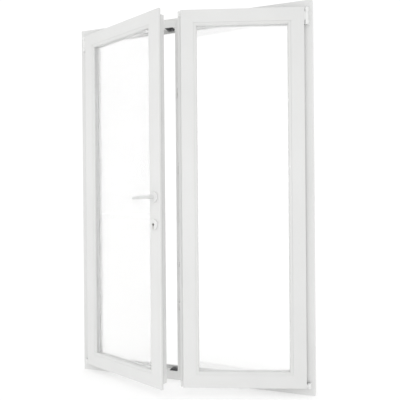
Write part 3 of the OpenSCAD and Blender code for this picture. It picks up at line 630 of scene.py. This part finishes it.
def seal(name, body, runs, replaced):
    """Lays seals along runs of (section, stations, closed), in place of a CAD node."""
    bm = bmesh.new()
    for section, stations, closed in runs:
        strip(bm, section, stations, closed)
    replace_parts(finish_mesh(name, bm, body, seal_grey, sharp=32), replaced)


LEAF_RING = corners(LEAF_W, LEAF_H)
frame_lip = [
    (FRAME_SEAL_IN + (a - LIP_START) * FRAME_SEAL_NARROWING, FRAME_D - d) for a, d in FOLDED_LIP
]
seal("frame_lip_seal", "frame", [(frame_lip, corners(FRAME_W, FRAME_H), True)], "frame_seal")
seal("right_lip_seal", "right_leaf", [(FOLDED_LIP, LEAF_RING, True)], "right_leaf_seal")
round_run = [(SEAL_END, 0, 0, 1), LEAF_RING[0], LEAF_RING[3], (SEAL_END, LEAF_H, 0, -1)]
side_run = [(LEAF_W, SIDE_END, -1, 0), (LEAF_W, SIDE_TOP, -1, 0)]
left_runs = [(FOLDED_LIP, round_run, False), (FOLDED_LIP, side_run, False)]
seal("left_lip_seal", "left_leaf", left_runs, "left_leaf_seal")
inner_strip = [(INNER_IN + a, INNER_DEPTH + d) for a, d in RIBBED_NOSE]
outer_strip = [(OUTER_IN + a, OUTER_DEPTH - d) for a, d in RIBBED_NOSE]
for side in ("left", "right"):
    glazing = [(inner_strip, LEAF_RING, True), (outer_strip, LEAF_RING, True)]
    seal(side + "_glazing_seal", side + "_leaf", glazing, side + "_glass_seals")

# ---- Screws ----

EDGE_U = LEAF_W - 20  # the faceplate's face, in the left leaf's own space
GROOVE_D = 29  # the depth at which plates, keeps and cams are centred
PLATE_ZS = (84, 250, 600, 800, 1040, 1300, 1480, 1700, 1932)
STRIKE_ZS = (889, 1040, 1197)
CAM_ZS = (460 - VISIBLE, 1615 - VISIBLE)
KEEP_SCREWS = (-1, 21)  # along a cam keep, from the cam
POST_E = LEAF_W + 16  # the post's platform, in the right leaf's own space
BOTTOM_CAM_X = VISIBLE + LEAF_W - 113
KEEP_Y, KEEP_TOP = 26, 58
SHOOT_X, SHOOT_Y, SHOOT_TOP = FRAME_W - VISIBLE - LEAF_W - 1, 25, 59
SHOOT_SCREWS = 10.5  # on each side of a shoot bolt
TOP_HINGE_Z = FRAME_H - VISIBLE * 2 - HINGE_H
ARM_X, ARM_Y, ARM_IN = -2.5, 9, 11
RIGHTWARDS, LEFTWARDS, UPWARDS, DOWNWARDS = (1, 0, 0), (-1, 0, 0), (0, 0, 1), (0, 0, -1)

plate = [((EDGE_U, GROOVE_D, z), RIGHTWARDS, 3.6) for z in PLATE_ZS]
screws("faceplate_screws", "left_leaf", plate)

strike = [((POST_E + 2, GROOVE_D, z), RIGHTWARDS, 3.4) for z in STRIKE_ZS]
for cam_z in CAM_ZS:
    strike += [((POST_E + 8, GROOVE_D + 17, cam_z + dz), RIGHTWARDS, 3.0) for dz in KEEP_SCREWS]
screws("post_keep_screws", "right_leaf", strike)

keeps = [((BOTTOM_CAM_X + dx, KEEP_Y, KEEP_TOP), UPWARDS, 3.0) for dx in KEEP_SCREWS]
for dx in KEEP_SCREWS:
    keeps.append(((BOTTOM_CAM_X + 10 - dx, KEEP_Y, FRAME_H - KEEP_TOP), DOWNWARDS, 3.0))
for dx in (-SHOOT_SCREWS, SHOOT_SCREWS):
    keeps.append(((SHOOT_X + dx, SHOOT_Y, SHOOT_TOP), UPWARDS, 2.6))
    keeps.append(((SHOOT_X + dx, SHOOT_Y, FRAME_H - SHOOT_TOP), DOWNWARDS, 2.6))
screws("frame_keep_screws", "frame", keeps)

for body in ("left_leaf", "right_leaf"):
    heights = (TOP_HINGE_Z + ARM_IN, TOP_HINGE_Z + HINGE_H - ARM_IN)
    screws(body + "_arm_screws", body, [((ARM_X, ARM_Y, z), LEFTWARDS, 3.2) for z in heights])

# ---- Floor ----

REACH = 40  # metres each way
floor_mesh = bpy.data.meshes.new("floor")
floor_corners = [(-REACH, -REACH, 0), (REACH, -REACH, 0), (REACH, REACH, 0), (-REACH, REACH, 0)]
floor_mesh.from_pydata(floor_corners, [], [(0, 1, 2, 3)])
floor = bpy.data.objects.new("floor", floor_mesh)
scene.collection.objects.link(floor)
pale = Nodes("pale_floor", roughness=0.85)
clouds = pale.noise(pale.place(), 1.5)
pale.to("Base Color", pale.mix(clouds, (0.56, 0.56, 0.558), (0.54, 0.54, 0.538)))
pale.set("Emission Color", (1, 1, 1, 1))
pale.set("Emission Strength", FLOOR_GLOW)
pale.set("Specular IOR Level", 0.1)
floor.data.materials.append(pale.material)
